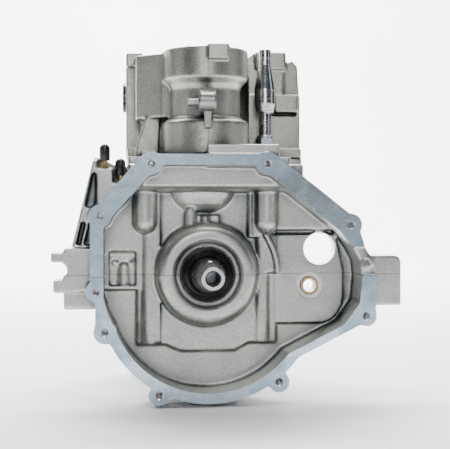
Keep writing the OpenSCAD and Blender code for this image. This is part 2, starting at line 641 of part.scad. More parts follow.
// Free gear with its dog ring and synchroniser cone; side is +1 when they face +Y
module free_gear(y, width, teeth, side) {
    near = side > 0 ? y + width : y;
    gear(0, 0, y, width, teeth, main_phase, mainshaft_r + gap);
    difference() {
        turned_y(0, 0, [for (p = [[mainshaft_r + gap, -0.2], [28, -0.2], [28, 0.9], [dog_r, 0.9], [dog_r, 4.4],
            [cone_r, 4.4], [cone_r - 0.4, 8], [mainshaft_r + gap, 8]]) [p[0], near + side * p[1]]]);
        rod_y(0, 0, near - 20, 40, mainshaft_r + gap);
    }
}
module third_gear() color(steel) free_gear(gear_ys[1], face, main_teeth[1], -1);
module second_gear() color(steel) free_gear(gear_ys[2], face, main_teeth[2], 1);
module first_gear() color(steel) free_gear(gear_ys[3], face, main_teeth[3], -1);
module reverse_gear() color(steel) difference() {
    union() {
        gear(0, 0, idler_y[0], idler_y[1] - idler_y[0], main_teeth[4], main_reverse_phase, mainshaft_r + gap);
        turned_y(0, 0, [[0, idler_y[1] - 1], [28, idler_y[1] - 1], [28, 199.1], [dog_r, 199.1], [dog_r, 203.4], [0, 203.4]]);
    }
    rod_y(0, 0, 180, 30, mainshaft_r + gap);
}
module reverse_idler() color(steel) difference() {
    union() {
        translate([idler_x, 0, idler_z]) back_from(idler_y[0], idler_y[1] - idler_y[0]) gear_outline(idler_teeth, to_main);
        rod_y(idler_x, idler_z, idler_y[0], 26, 12);
    }
    rod_y(idler_x, idler_z, 180, 40, 8 + gap);
}

// ---------- synchroniser hubs and sleeves ----------
spline_teeth = 24;
function spline(r_low, r_high, half, turn) = [for (k = [0:spline_teeth - 1])
    for (e = [[r_low, -half - 0.6], [r_high, -half], [r_high, half], [r_low, half + 0.6]])
        let (a = turn + 360 * k / spline_teeth + e[1]) e[0] * [cos(a), sin(a)]];
module hub(y, width) color(steel) difference() {
    back_from(y, width) polygon(spline(30.1, 32.2, 2.6, 0));
    rod_y(0, 0, y - lap, width + 2 * lap, mainshaft_r);
}
module sleeve(y, width, outer, groove_w) color(machined) difference() {
    ring_y(0, 0, y, width, outer, 31);
    back_from(y - lap, width + 2 * lap) polygon(spline(30.25, 32.6, 3.3, 0));
    ring_y(0, 0, y + (width - groove_w) / 2, groove_w, outer + 5, groove_r);
}
sleeve_r = 40;
groove_r = 35.2;
hub_y = [87, 148, 204.5];
sleeve_y = [86, 147, 206];
sleeve_w = [18, 18, 10];
groove_w = [6, 6, 4.4];
module hub_34() hub(hub_y[0], 16);
module hub_12() hub(hub_y[1], 16);
module hub_reverse() hub(hub_y[2], 10);
module sleeve_34() sleeve(sleeve_y[0], sleeve_w[0], sleeve_r, groove_w[0]);
module sleeve_12() sleeve(sleeve_y[1], sleeve_w[1], sleeve_r, groove_w[1]);
module sleeve_reverse() sleeve(sleeve_y[2], sleeve_w[2], sleeve_r, groove_w[2]);
module baulk_rings() color(bronze)
    for (y = [82.8, 103.4, 143.8, 164.4]) ring_y(0, 0, y, 3.4, 29.4, cone_r + 0.3);

// ---------- output ----------
flange_y = retainer_y + 13;
output_pcd = 70;
module output_flange() color(steel) difference() {
    union() {
        rod_y(0, 0, retainer_y, 14, 22);
        rod_y(0, 0, flange_y, 8, 46);
        rod_y(0, 0, flange_y + 7, 3, 26);
    }
    rod_y(0, 0, retainer_y - lap, 40, shaft_r);
    for (a = [45:90:315]) rod_y(output_pcd / 2 * cos(a), output_pcd / 2 * sin(a), flange_y - lap, 12, 5);
}
module output_nut() color(machined) difference() {
    union() {
        rod_y(0, 0, flange_y + 10, 2, 22);
        hex_y(0, 0, flange_y + 12, 10, 19);
    }
    rod_y(0, 0, flange_y, 30, 12);
    rod_y(0, 0, flange_y, 10, 18);
}

// ---------- rails, forks and selector ----------
module rail(i) color(steel) difference() {
    rod_y(rails[i][0], rails[i][1], rail_y[0], rail_y[1] - rail_y[0], rail_r);
    block([rails[i][0] - 7, rails[i][0] + 7], [203, rail_y[1] + lap], [rails[i][1] + 4.4, rails[i][1] + 8]);
}
// Half ring that sits in a sleeve's groove
module fork_blade(y, width, inner, outer) difference() {
    ring_y(0, 0, y, width, outer, inner);
    block([-60, 60], [y - lap, y + width + lap], [-60, -4]);
}
fork_gap = 0.15;
module fork(i, lean) {
    mid = sleeve_y[i] + sleeve_w[i] / 2;
    w = groove_w[i] - 2 * fork_gap;
    x = rails[i][0];
    z = rails[i][1];
    difference() {
        union() {
            fork_blade(mid - w / 2, w, groove_r + fork_gap, 46);
            back_from(mid - w / 2, w) polygon([[x - 8, z], [x + 8, z], [x + 8 - lean, 40], [x - 8 - lean, 40]]);
            rod_y(x, z, mid - 9, 18, 10);
        }
        rod_y(x, z, mid - 20, 40, rail_r);
    }
}
finger_r = 28.5;
slot_half = 6.2;
module fork_34() color(brass) difference() {
    union() {
        fork(0, 10);
        block([28, 48], [selector_y - slot_half - 5, selector_y + slot_half + 5], [58, 70]);
    }
    // slot for the selector finger
    block([selector_x - finger_r - 6.4, 49], [selector_y - slot_half, selector_y + slot_half], [50, 80]);
    rod_y(rails[0][0], rails[0][1], 60, 60, rail_r);
}
module rail_34() rail(0);
module rail_12() rail(1);
module rail_reverse() rail(2);
module fork_12() color(brass) fork(1, 0);
module fork_reverse() color(brass) {
    w = groove_w[2] - 2 * fork_gap;
    mid = sleeve_y[2] + sleeve_w[2] / 2;
    x = rails[2][0];
    difference() {
        union() {
            fork_blade(mid - w / 2, w, groove_r + fork_gap, 47.5);
            block([x - 8, x + 8], [196, mid + w / 2], [40, 48]);
            block([x - 8, x + 8], [196, 204], [40, rails[2][1]]);
            rod_y(x, rails[2][1], 194, 12, 10);
        }
        rod_y(x, rails[2][1], 180, 40, rail_r);
        rod_y(0, 0, 180, mid - w / 2 - 180, 42.5);
    }
}

module selector_shaft() color(machined) translate([selector_x, selector_y, 0]) rotate_extrude()
    polygon([[0, 44.5], [selector_r, 44.5], [selector_r, 171], [9.6, 172], [belly_r, 181], [belly_r, 197],
        [selector_r + 0.3, 222], [selector_r, 223], [selector_r, selector_top - 0.6], [selector_r - 0.6, selector_top],
        [0, selector_top]]);
module selector_finger() color(dark_steel) difference() {
    union() {
        rod_z(selector_x, selector_y, 57, 18, 10.5);
        block([selector_x - finger_r, selector_x], [selector_y - 3.4, selector_y + 3.4], [60, 68]);
        rod_z(selector_x - finger_r, selector_y, 59, 10, slot_half - fork_gap - 0.15);
    }
    rod_z(selector_x, selector_y, 50, 30, selector_r);
}

lower_case();
upper_case();
selector_tower();
tower_gasket();
top_cover();
sump_cover();
drain_plug();
filler_plug();
rear_retainer();
m6_bolts();
case_bolts();
dowel_pins();
side_cap();
clip_bracket();
input_seal();
output_seal();
input_bearing_outer();
output_bearing_outer();
counter_bearing_outers();
bronze_bush();
hose_nipples();
nipple_caps();
gland_nut();
idler_shaft();
detent_plugs();
detent_balls();
input_shaft();
input_bearing_inner();
input_bearing_balls();
pilot_bush();
countershaft();
counter_gears();
counter_bearing_inners();
counter_bearing_balls();
mainshaft();
output_bearing_inner();
output_bearing_balls();
hub_34();
hub_12();
hub_reverse();
baulk_rings();
output_flange();
output_nut();
third_gear();
second_gear();
first_gear();
reverse_gear();
reverse_idler();
sleeve_34();
sleeve_12();
sleeve_reverse();
rail_34();
fork_34();
rail_12();
fork_12();
rail_reverse();
fork_reverse();
selector_shaft();
selector_finger();
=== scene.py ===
"""The looks of the manual transmission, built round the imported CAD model.

The case's two castings, the tower and the hose clip are remade from the CAD meshes: remeshed finely and
smoothed, so that every cast corner has its fillet, and the case and tower are then cut where the real ones are
machined. The input shaft's nose, its seal, the gland nut, the nipples and their caps are turned here in more
detail. Everything else keeps the CAD shape.
"""

import math

import bmesh
import bpy
import numpy as np
from mathutils import Matrix, Vector


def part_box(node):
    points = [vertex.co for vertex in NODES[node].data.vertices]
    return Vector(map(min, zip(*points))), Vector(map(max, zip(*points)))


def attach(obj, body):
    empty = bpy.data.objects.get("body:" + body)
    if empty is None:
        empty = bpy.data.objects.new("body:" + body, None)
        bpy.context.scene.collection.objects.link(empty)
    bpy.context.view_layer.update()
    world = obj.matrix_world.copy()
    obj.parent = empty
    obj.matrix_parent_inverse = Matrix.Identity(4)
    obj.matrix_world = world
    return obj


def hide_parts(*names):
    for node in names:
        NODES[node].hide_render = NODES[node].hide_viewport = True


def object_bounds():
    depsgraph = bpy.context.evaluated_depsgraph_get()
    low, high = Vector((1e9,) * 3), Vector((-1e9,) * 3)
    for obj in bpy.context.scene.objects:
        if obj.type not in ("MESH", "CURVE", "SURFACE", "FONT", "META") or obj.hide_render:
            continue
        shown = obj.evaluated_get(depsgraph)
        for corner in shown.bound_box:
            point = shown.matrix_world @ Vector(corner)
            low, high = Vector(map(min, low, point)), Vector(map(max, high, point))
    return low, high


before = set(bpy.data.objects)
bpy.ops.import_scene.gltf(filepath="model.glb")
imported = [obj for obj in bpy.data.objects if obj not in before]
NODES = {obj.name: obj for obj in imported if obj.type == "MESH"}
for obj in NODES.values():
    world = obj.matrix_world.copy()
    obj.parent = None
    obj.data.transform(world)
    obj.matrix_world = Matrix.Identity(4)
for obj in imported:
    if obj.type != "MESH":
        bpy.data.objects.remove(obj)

cad_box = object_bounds()
MM = 0.001


# ---------------------------------------------------------------- mesh helpers
def put(name, mesh):
    piece = bpy.data.objects.new(name, mesh)
    bpy.context.scene.collection.objects.link(piece)
    return piece


def from_bmesh(name, bm):
    mesh = bpy.data.meshes.new(name)
    bmesh.ops.recalc_face_normals(bm, faces=bm.faces)
    bm.to_mesh(mesh)
    bm.free()
    return put(name, mesh)


def applied(piece):
    """Bakes the piece's modifiers into its mesh."""
    graph = bpy.context.evaluated_depsgraph_get()
    mesh = bpy.data.meshes.new_from_object(piece.evaluated_get(graph))
    piece.modifiers.clear()
    old = piece.data
    piece.data = mesh
    bpy.data.meshes.remove(old)
    return piece


def joined(name, parts):
    """One mesh that holds every part's faces; the parts go."""
    bm = bmesh.new()
    for part in parts:
        bm.from_mesh(part.data)
    mesh = bpy.data.meshes.new(name)
    bm.to_mesh(mesh)
    bm.free()
    for part in parts:
        bpy.data.objects.remove(part)
    return put(name, mesh)


def copy_of(node):
    return put(node + "_copy", NODES[node].data.copy())


def prism(points, y0, y1):
    """A flat outline of x and z in mm, pushed from y0 to y1."""
    bm = bmesh.new()
    front = [bm.verts.new((x * MM, y0 * MM, z * MM)) for x, z in points]
    back = [bm.verts.new((x * MM, y1 * MM, z * MM)) for x, z in points]
    bm.faces.new(front)
    bm.faces.new(back[::-1])
    for i in range(len(points)):
        j = (i + 1) % len(points)
        bm.faces.new((front[j], front[i], back[i], back[j]))
    return from_bmesh("prism", bm)


AXES = {
    "x": Matrix(((0, 0, 1), (0, 1, 0), (-1, 0, 0))),
    "y": Matrix(((1, 0, 0), (0, 0, 1), (0, -1, 0))),
    "z": Matrix.Identity(3),
}


def turned(profile, centre, axis="y", segments=96):
    """A solid of revolution: profile holds (radius, height along the axis) in mm, centre is in mm."""
    bm = bmesh.new()
    rings = []
    turn = [2 * math.pi * i / segments for i in range(segments)]
    for r, h in profile:
        if r == 0:
            rings.append([bm.verts.new((0, 0, h * MM))])
        else:
            rings.append([bm.verts.new((r * MM * math.cos(a), r * MM * math.sin(a), h * MM)) for a in turn])
    hollow = profile[0][0] > 0
    for low, high in zip(rings, rings[1:] + (rings[:1] if hollow else [])):
        for i in range(segments):
            j = (i + 1) % segments
            if len(low) == 1 and len(high) == 1:
                break
            if len(low) == 1:
                bm.faces.new((low[0], high[i], high[j]))
            elif len(high) == 1:
                bm.faces.new((low[j], low[i], high[0]))
            else:
                bm.faces.new((low[i], low[j], high[j], high[i]))
    stand = Matrix.Translation(Vector(centre) * MM) @ AXES[axis].to_4x4()
    bmesh.ops.transform(bm, matrix=stand, verts=bm.verts)
    return from_bmesh("turned", bm)


def rod(centre, axis, length, r, segments=64):
    """A cylinder that starts at centre and runs up the axis."""
    return turned([(0, 0), (r, 0), (r, length), (0, length)], centre, axis, segments)


def box(x, y, z):
    """A block between two values of x, of y and of z in mm."""
    return prism([(x[0], z[0]), (x[1], z[0]), (x[1], z[1]), (x[0], z[1])], *y)


def boolean(piece, tools, operation="DIFFERENCE", solver="MANIFOLD"):
    """Cuts piece with the tools, which are closed meshes, or keeps what lies inside them; the tools go."""
    for tool in tools:
        step = piece.modifiers.new("cut", "BOOLEAN")
        step.operation = operation
        step.solver = solver
        step.object = tool
    applied(piece)
    for tool in tools:
        bpy.data.objects.remove(tool)
    return piece


def remeshed(piece, voxel, rounds):
    """One closed skin of even quads, with its corners rounded by smoothing."""
    skin = piece.modifiers.new("skin", "REMESH")
    skin.mode = "VOXEL"
    skin.voxel_size = voxel * MM
    skin.use_smooth_shade = True
    soft = piece.modifiers.new("soft", "SMOOTH")
    soft.factor = 0.5
    soft.iterations = rounds
    return applied(piece)


def smooth_by_angle(piece, degrees=32):
    piece.data.shade_smooth()
    piece.data.set_sharp_from_angle(angle=math.radians(degrees))


def faces_where(piece, test):
    """Numbers of the faces that test, given centres and normals as arrays in mm, says yes to."""
    mesh = piece.data
    centres = np.empty(len(mesh.polygons) * 3)
    normals = np.empty(len(mesh.polygons) * 3)
    mesh.polygons.foreach_get("center", centres)
    mesh.polygons.foreach_get("normal", normals)
    return test(centres.reshape(-1, 3) / MM, normals.reshape(-1, 3))


def paint(piece, base, *others):
    """Gives the piece a base material, and each (material, test) pair to the faces its test picks."""
    piece.data.materials.clear()
    piece.data.materials.append(base)
    index = np.zeros(len(piece.data.polygons), dtype=np.int32)
    for k, (material, test) in enumerate(others, 1):
        piece.data.materials.append(material)
        index[faces_where(piece, test)] = k
    piece.data.polygons.foreach_set("material_index", index)
    piece.data.update()


# ---------------------------------------------------------------- materials
class Shader:
    """Small helper that builds one material's node tree."""

    def __init__(self, name, base, metallic=1.0, rough=0.4, specular=0.5):
        self.material = bpy.data.materials.new(name)
        self.material.use_nodes = True
        self.tree = self.material.node_tree
        self.tree.nodes.clear()
        self.surface = self.node("ShaderNodeBsdfPrincipled")
        out = self.node("ShaderNodeOutputMaterial")
        self.link(self.surface.outputs[0], out.inputs[0])
        self.surface.inputs["Base Color"].default_value = (*base, 1)
        self.surface.inputs["Metallic"].default_value = metallic
        self.surface.inputs["Roughness"].default_value = rough
        self.surface.inputs["Specular IOR Level"].default_value = specular
        self.place = self.node("ShaderNodeTexCoord").outputs["Object"]

    def node(self, kind, **settings):
        node = self.tree.nodes.new(kind)
        for key, value in settings.items():
            setattr(node, key, value)
        return node

    def link(self, a, b):
        self.tree.links.new(a, b)

    def scaled(self, scale):
        mapping = self.node("ShaderNodeMapping")
        mapping.inputs["Scale"].default_value = scale
        self.link(self.place, mapping.inputs["Vector"])
        return mapping.outputs[0]

    def noise(self, size, detail=2.0, stretch=(1, 1, 1), rough=0.5, warp=0.0):
        """Noise whose features are about size mm across."""
        noise = self.node("ShaderNodeTexNoise")
        noise.inputs["Scale"].default_value = 1.0 / (size * MM)
        noise.inputs["Detail"].default_value = detail
        noise.inputs["Roughness"].default_value = rough
        noise.inputs["Distortion"].default_value = warp
        self.link(self.scaled(stretch), noise.inputs["Vector"])
        return noise.outputs[0]

    def ramp(self, value, low, high, at=(0.35, 0.65)):
        """Maps a value to grey levels between low and high."""
        span = self.node("ShaderNodeMapRange")
        span.inputs["From Min"].default_value = at[0]
        span.inputs["From Max"].default_value = at[1]
        span.inputs["To Min"].default_value = low
        span.inputs["To Max"].default_value = high
        self.link(value, span.inputs["Value"])
        return span.outputs[0]

    def maths(self, operation, a, b=None):
        node = self.node("ShaderNodeMath", operation=operation)
        for socket, value in zip(node.inputs, (a, b)):
            if value is None:
                continue
            if isinstance(value, (int, float)):
                socket.default_value = value
            else:
                self.link(value, socket)
        return node.outputs[0]

    def mixed(self, factor, a, b):
        node = self.node("ShaderNodeMix", data_type="RGBA")
        for socket, value in ((node.inputs[0], factor), (node.inputs[6], a), (node.inputs[7], b)):
            if isinstance(value, (int, float)):
                socket.default_value = value
            elif isinstance(value, tuple):
                socket.default_value = (*value, 1)
            else:
                self.link(value, socket)
        return node.outputs[2]

    def corners(self, reach, low=0.0):
        """Painted shade: 1 on open faces, falling to low deep in corners and pockets within reach mm, by
        ambient occlusion.
        """
        ao = self.node("ShaderNodeAmbientOcclusion")
        ao.samples = 6
        ao.inputs["Distance"].default_value = reach * MM
        return self.ramp(ao.outputs["AO"], low, 1.0, at=(0.15, 0.85))

    def colour(self, socket):
        self.link(socket, self.surface.inputs["Base Color"])

    def roughness(self, socket):
        self.link(socket, self.surface.inputs["Roughness"])

    def bump(self, height, depth, strength=1.0):
        """Bump with its height in mm; several calls stack up."""
        bump = self.node("ShaderNodeBump")
        bump.inputs["Strength"].default_value = strength
        bump.inputs["Distance"].default_value = depth * MM
        self.link(height, bump.inputs["Height"])
        normal = self.surface.inputs["Normal"]
        if normal.is_linked:
            self.link(normal.links[0].from_socket, bump.inputs["Normal"])
        self.link(bump.outputs[0], normal)


def shade_of(base, *factors):
    """A colour times one factor, or times a factor for each channel."""
    return tuple(c * k for c, k in zip(base, factors * 3 if len(factors) == 1 else factors))


def cast_metal(name, base, dark, depth=0.16, mould_line=False):
    """Sand- or die-cast skin: fine grain, soft blotches, and painted shade that darkens the corners."""
    s = Shader(name, base)
    grain = s.noise(1.25, detail=2, rough=0.7)
    pores = s.noise(2.2, detail=2, rough=0.7)
    blotch = s.noise(30, detail=3)
    tone = s.mixed(s.ramp(blotch, 0.0, 1.0, at=(0.3, 0.7)), shade_of(base, 0.88), shade_of(base, 1.08))
    tone = s.mixed(s.ramp(grain, 0.0, 0.42, at=(0.4, 0.66)), tone, dark)
    tone = s.mixed(s.ramp(pores, 0.0, 0.5, at=(0.5, 0.7)), tone, shade_of(base, 1.25))
    if mould_line:
        across = s.node("ShaderNodeSeparateXYZ")
        s.link(s.place, across.inputs[0])
        away = s.maths("ABSOLUTE", across.outputs[0])
        tone = s.mixed(s.ramp(away, 0.45, 0.0, at=(0.3 * MM, 0.9 * MM)), tone, dark)
    # painted shade: ambient occlusion blends the dark blue-grey colour into corners and pockets
    s.colour(s.mixed(s.corners(16), dark, tone))
    s.roughness(s.ramp(grain, 0.28, 0.42, at=(0.3, 0.7)))
    s.bump(grain, depth)
    s.bump(blotch, 0.6, strength=0.5)
    return s.material


def machined_metal(name, base, rough, lay):
    """A milled face: bright, its polish varying along the cutter's lay, with cloudy staining."""
    s = Shader(name, base, metallic=0.96)
    lines = s.noise(5.0, detail=2, stretch=lay)
    cloud = s.noise(48, detail=3, warp=0.8)
    stain = s.noise(13, detail=2, warp=0.5)
    tone = s.mixed(s.ramp(cloud, 0.0, 0.85, at=(0.38, 0.64)), base, shade_of(base, 0.5, 0.6, 0.7))
    s.colour(s.mixed(s.ramp(stain, 0.0, 0.35, at=(0.5, 0.7)), tone, shade_of(base, 1.28)))
    s.roughness(s.maths("ADD", s.ramp(lines, rough - 0.012, rough + 0.012), s.ramp(cloud, 0.0, 0.1)))
    s.bump(cloud, 0.35, strength=0.3)
    return s.material


def turned_metal(name, base, rough, ring=1.2, axis="y", spots=0.4):
    """Turned or ground steel: fine rings round the axis, slight staining."""
    s = Shader(name, base)
    stretch = {"y": (0.02, 1, 0.02), "z": (0.02, 0.02, 1)}[axis]
    rings = s.noise(ring, detail=2, stretch=stretch)
    stain = s.noise(16, detail=2, warp=0.4)
    tone = s.mixed(s.ramp(stain, 0.0, spots, at=(0.42, 0.7)), base, shade_of(base, 0.6))
    s.colour(s.mixed(s.ramp(rings, 0.0, 0.35, at=(0.5, 0.7)), tone, shade_of(base, 0.55)))
    s.roughness(s.maths("ADD", s.ramp(rings, rough - 0.04, rough + 0.05), s.ramp(stain, 0.0, 0.06)))
    s.bump(rings, 0.004, strength=0.6)
    return s.material


def plated_metal(name, base, tint, rough=0.24):
    """Zinc or brass: a hint of a second colour, small dings, and painted shade that darkens the corners."""
    s = Shader(name, base)
    cloud = s.noise(5, detail=3, warp=0.8)
    ding = s.noise(0.9, detail=2)
    tone = s.mixed(s.ramp(cloud, 0.0, 0.7, at=(0.4, 0.66)), base, tint)
    # painted shade: corners and pockets darken towards a quarter of the base colour by ambient occlusion
    s.colour(s.mixed(s.corners(3, low=0.2), shade_of(base, 0.25), tone))
    s.roughness(s.ramp(cloud, rough, rough + 0.16))
    s.bump(ding, 0.03, strength=0.6)
    return s.material


def rubber(name, base, rough, specular=0.5):
    """Moulded rubber, paint, sealant or paper: a faint bloom and a fine skin."""
    s = Shader(name, base, metallic=0.0, specular=specular)
    skin = s.noise(1.5, detail=2)
    bloom = s.noise(18, detail=3)
    s.colour(s.mixed(s.ramp(bloom, 0.0, 0.4, at=(0.45, 0.7)), base, tuple(c * 1.5 + 0.004 for c in base)))
    s.roughness(s.ramp(bloom, rough - 0.03, rough + 0.08))
    s.bump(skin, 0.01, strength=0.3)
    return s.material


# each cast finish's second colour darkens its grain and is also the painted shade in its corners
CAST = cast_metal("cast_aluminium_fine", (0.53, 0.535, 0.50), (0.05, 0.066, 0.082))
CAST_TOWER = cast_metal("cast_aluminium_coarse", (0.46, 0.452, 0.40), (0.045, 0.05, 0.052), depth=0.26,
                        mould_line=True)
CAST_STEEL = cast_metal("cast_steel", (0.34, 0.34, 0.34), (0.04, 0.04, 0.045), depth=0.1)
RIM = machined_metal("machined_rim", (0.50, 0.60, 0.67), 0.25, lay=(0.5, 1, 2))
FACE = machined_metal("machined_face", (0.70, 0.70, 0.68), 0.3, lay=(6, 1, 1))
BORE = turned_metal("bored_hole", (0.80, 0.81, 0.82), 0.26, ring=1.1)
SEALANT = rubber("joint_sealant", (0.022, 0.024, 0.028), 0.5)
PAINT = rubber("black_paint", (0.016, 0.017, 0.019), 0.38, specular=0.4)
RUBBER = rubber("glossy_rubber", (0.010, 0.010, 0.011), 0.2, specular=0.6)
SHAFT = turned_metal("dark_ground_steel", (0.32, 0.325, 0.335), 0.2, ring=1.6, spots=0.2)
TIP = turned_metal("bright_ground_steel", (0.72, 0.725, 0.73), 0.26)
ROD = turned_metal("polished_rod", (0.62, 0.625, 0.635), 0.2, ring=2.2, axis="z", spots=0.12)
GEAR = turned_metal("gear_steel_cut", (0.42, 0.42, 0.42), 0.28)
STEEL = turned_metal("bearing_steel", (0.60, 0.60, 0.61), 0.18)
ZINC = plated_metal("zinc_plate", (0.72, 0.735, 0.76), (0.50, 0.58, 0.72))
BRASS = plated_metal("brass_fitting", (0.72, 0.52, 0.22), (0.50, 0.34, 0.14), rough=0.2)
BRONZE = plated_metal("bronze_bush_metal", (0.50, 0.36, 0.20), (0.34, 0.25, 0.15), rough=0.26)
GASKET = rubber("paper_gasket", (0.045, 0.045, 0.043), 0.6, specular=0.3)

NODE_FINISH = {
    CAST: "lower_case upper_case rear_retainer",
    CAST_TOWER: "selector_tower top_cover",
    GASKET: "tower_gasket",
    PAINT: "sump_cover",
    CAST_STEEL: "clip_bracket",
    BRASS: "drain_plug filler_plug hose_nipples",
    ZINC: "m6_bolts case_bolts gland_nut output_nut",
    STEEL: "dowel_pins input_bearing_outer input_bearing_inner input_bearing_balls detent_plugs detent_balls"
    " counter_bearing_outers counter_bearing_inners counter_bearing_balls"
    " output_bearing_outer output_bearing_inner output_bearing_balls",
    RUBBER: "side_cap input_seal output_seal nipple_caps",
    BRONZE: "bronze_bush pilot_bush baulk_rings",
    SHAFT: "input_shaft idler_shaft countershaft mainshaft",
    GEAR: "counter_gears third_gear second_gear first_gear reverse_gear reverse_idler output_flange"
    " hub_34 hub_12 hub_reverse sleeve_34 sleeve_12 sleeve_reverse fork_34 fork_12 fork_reverse"
    " selector_finger",
    ROD: "rail_34 rail_12 rail_reverse selector_shaft",
}
for finish, names in NODE_FINISH.items():
    for name in names.split():
        NODES[name].data.materials.clear()
        NODES[name].data.materials.append(finish)

# ---------------------------------------------------------------- the case's two castings
# the grid of the castings' skins in mm, and how often they are smoothed
CASE_GRID = 1.25
TOWER_GRID = 1.05
ROUNDS = 9
CASE_TRIANGLES, TOWER_TRIANGLES, SEAM_TRIANGLES = 185000, 180000, 30000
# places as (x, z) in mm, or (x, y) for what stands along z; radii in mm
RIM_BOLTS = [(-58, 113), (58, 113), (-109, 60.5), (-113, -14.5), (-104.5, -55), (-51, -118.5), (70, -107),
             (160, -41.4), (160, 12.6), (143.5, 51.3)]
RIM_HOLE = 3.4
STARTER, STARTER_R = (119, 25.7), 16.8
BUSH, BUSH_FACE = (108.2, -12.8), 40.7
SELECTOR, SELECTOR_HOLE = (67.5, 84), 5.75
RAILS, RAIL_HOLE, RAIL_START = [(24, 64), (0, 70), (-24, 64)], 6.25, 46.6
EAR, EAR_HOLE = (-152, 42), 3.25
LUG_FACE, LUG_HOLE_Y, LUG_HOLE_ZS = 202, 40, (8, -22)
SEAL_R = 28.0
PULLED = 4.0


def front_pulled(piece):
    """Moves the vertices on the mating face forward, so that smoothing rounds only what is cut off later."""
    for v in piece.data.vertices:
        if abs(v.co.y) < 0.02 * MM:
            v.co.y = -PULLED * MM
    return piece


def countersunk(centre, axis, depth, r, chamfer, turn=1):
    """A drill that leaves a chamfered hole: centre is on the face it enters, turn is its direction."""
    profile = [(0, -2 * turn), (r + chamfer + 2, -2 * turn), (r, chamfer * turn), (r, depth * turn),
               (0, (depth + 0.5 * r) * turn)]
    return turned(profile, centre, axis, 48)


def plugs():
    """Fills the holes before the skin is made, because they are drilled sharp afterwards."""
    parts = [rod((x, -PULLED, z), "y", 30, RIM_HOLE + 1.2, 24) for x, z in RIM_BOLTS]
    parts.append(rod((STARTER[0], 41, STARTER[1]), "y", 18, STARTER_R + 1.2, 48))
    parts.append(rod((BUSH[0], 41, BUSH[1]), "y", 16, 14.2, 48))
    parts.append(rod((*EAR, -17), "z", 11, EAR_HOLE + 0.95, 32))
    parts.append(rod((*EAR, 14), "z", 9, EAR_HOLE + 0.95, 32))
    return parts + [rod((178, LUG_HOLE_Y, z), "x", 23, RIM_HOLE + 1, 24) for z in LUG_HOLE_ZS]


def drills():
    """One mesh that holds everything bored or drilled."""
    seal_seat = [(0, 20), (30.5, 20), (28.6, 26.9), (SEAL_R, 27.8), (SEAL_R, 42), (0, 42)]
    bush_seat = [(0, 30), (13.4, 30), (13.0, BUSH_FACE), (9.9, BUSH_FACE), (9.4, 41.3), (9.4, 90), (0, 90)]
    parts = [countersunk((x, 0, z), "y", 24, RIM_HOLE, 0.9) for x, z in RIM_BOLTS]
    parts.append(countersunk((STARTER[0], 40, STARTER[1]), "y", 60, STARTER_R, 0.8))
    parts.append(turned(bush_seat, (BUSH[0], 0, BUSH[1]), "y"))
    parts.append(turned(seal_seat, (0, 0, 0), "y", 128))
    parts.append(rod((*EAR, -40), "z", 80, EAR_HOLE, 32))
    parts += [countersunk((LUG_FACE, LUG_HOLE_Y, z), "x", 22, RIM_HOLE, 0.8, -1) for z in LUG_HOLE_ZS]
    parts += [rod((x, RAIL_START, z), "y", 250, RAIL_HOLE, 32) for x, z in RAILS]
    parts.append(rod((*SELECTOR, 44), "z", 100, SELECTOR_HOLE, 48))
    return joined("drills", parts)


def case_castings():
    """Both halves of the case as one smooth skin, with the mating face milled at y = 0 and the holes cut."""
    halves = [front_pulled(copy_of("lower_case")), front_pulled(copy_of("upper_case"))]
    skin = remeshed(joined("case_skin", halves + plugs()), CASE_GRID, ROUNDS)
    boolean(skin, [box((-200, 240), (-30, 0), (-160, 160))])
    return boolean(skin, [drills()])


case_skin = case_castings()


def halved(skin, name, low, high):
    half = put(name, skin.data.copy())
    boolean(half, [box((-250, 250), (-60, 320), (low, high))], "INTERSECT")
    return half


def lighter(piece, target):
    """Collapses flat regions until the piece has about target triangles."""
    count = sum(len(p.vertices) - 2 for p in piece.data.polygons)
    if count > target:
        thin = piece.modifiers.new("thin", "DECIMATE")
        thin.ratio = target / count
        thin.use_collapse_triangulate = True
        applied(piece)
    return piece


def radius_from(c, x, z):
    return np.hypot(c[:, 0] - x, c[:, 2] - z)


def on_rim(c, n):
    return (c[:, 1] <= 0.06) & (n[:, 1] <= -0.9)


def in_bores(c, n):
    hit = np.zeros(len(c), dtype=bool)
    for x, z in RIM_BOLTS:
        hit |= (radius_from(c, x, z) < RIM_HOLE + 0.95) & (c[:, 1] < 25) & ~on_rim(c, n)
    hit |= (radius_from(c, *STARTER) < STARTER_R + 0.9) & (c[:, 1] > 38)
    hit |= (radius_from(c, *BUSH) < 13.5) & (c[:, 1] > 39)
    hit |= (radius_from(c, 0, 0) < SEAL_R + 0.7) & (c[:, 1] > 20.3) & (c[:, 1] < 41)
    for z in LUG_HOLE_ZS:
        hit |= (np.hypot(c[:, 1] - LUG_HOLE_Y, c[:, 2] - z) < RIM_HOLE + 0.9) & (c[:, 0] > 178)
    return hit | (np.hypot(c[:, 0] - EAR[0], c[:, 1] - EAR[1]) < EAR_HOLE + 0.05)


def milled(c, n):
    """Faces that a cutter has skimmed: the joint between the halves, and the spot face round the bush."""
    joint = (np.abs(c[:, 2]) < 0.3) & (np.abs(n[:, 2]) > 0.95)
    return joint | ((radius_from(c, *BUSH) < 13.2) & (np.abs(c[:, 1] - BUSH_FACE) < 0.2))


SEAM = 0.22  # half the thickness of the sealant that shows between the halves, mm
cases = []
for name, low, high in (("case_lower_casting", -200, -SEAM), ("case_upper_casting", SEAM, 200)):
    half = lighter(halved(case_skin, name, low, high), CASE_TRIANGLES)
    paint(half, CAST, (RIM, on_rim), (BORE, in_bores), (FACE, milled))
    smooth_by_angle(half)
    cases.append(half)
seam = halved(case_skin, "case_joint_sealant", -SEAM, SEAM)
lighter(seam, SEAM_TRIANGLES)
paint(seam, SEALANT)
bpy.data.objects.remove(case_skin)
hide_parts("lower_case")
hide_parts("upper_case")
for piece in cases + [seam]:
    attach(piece, "case")

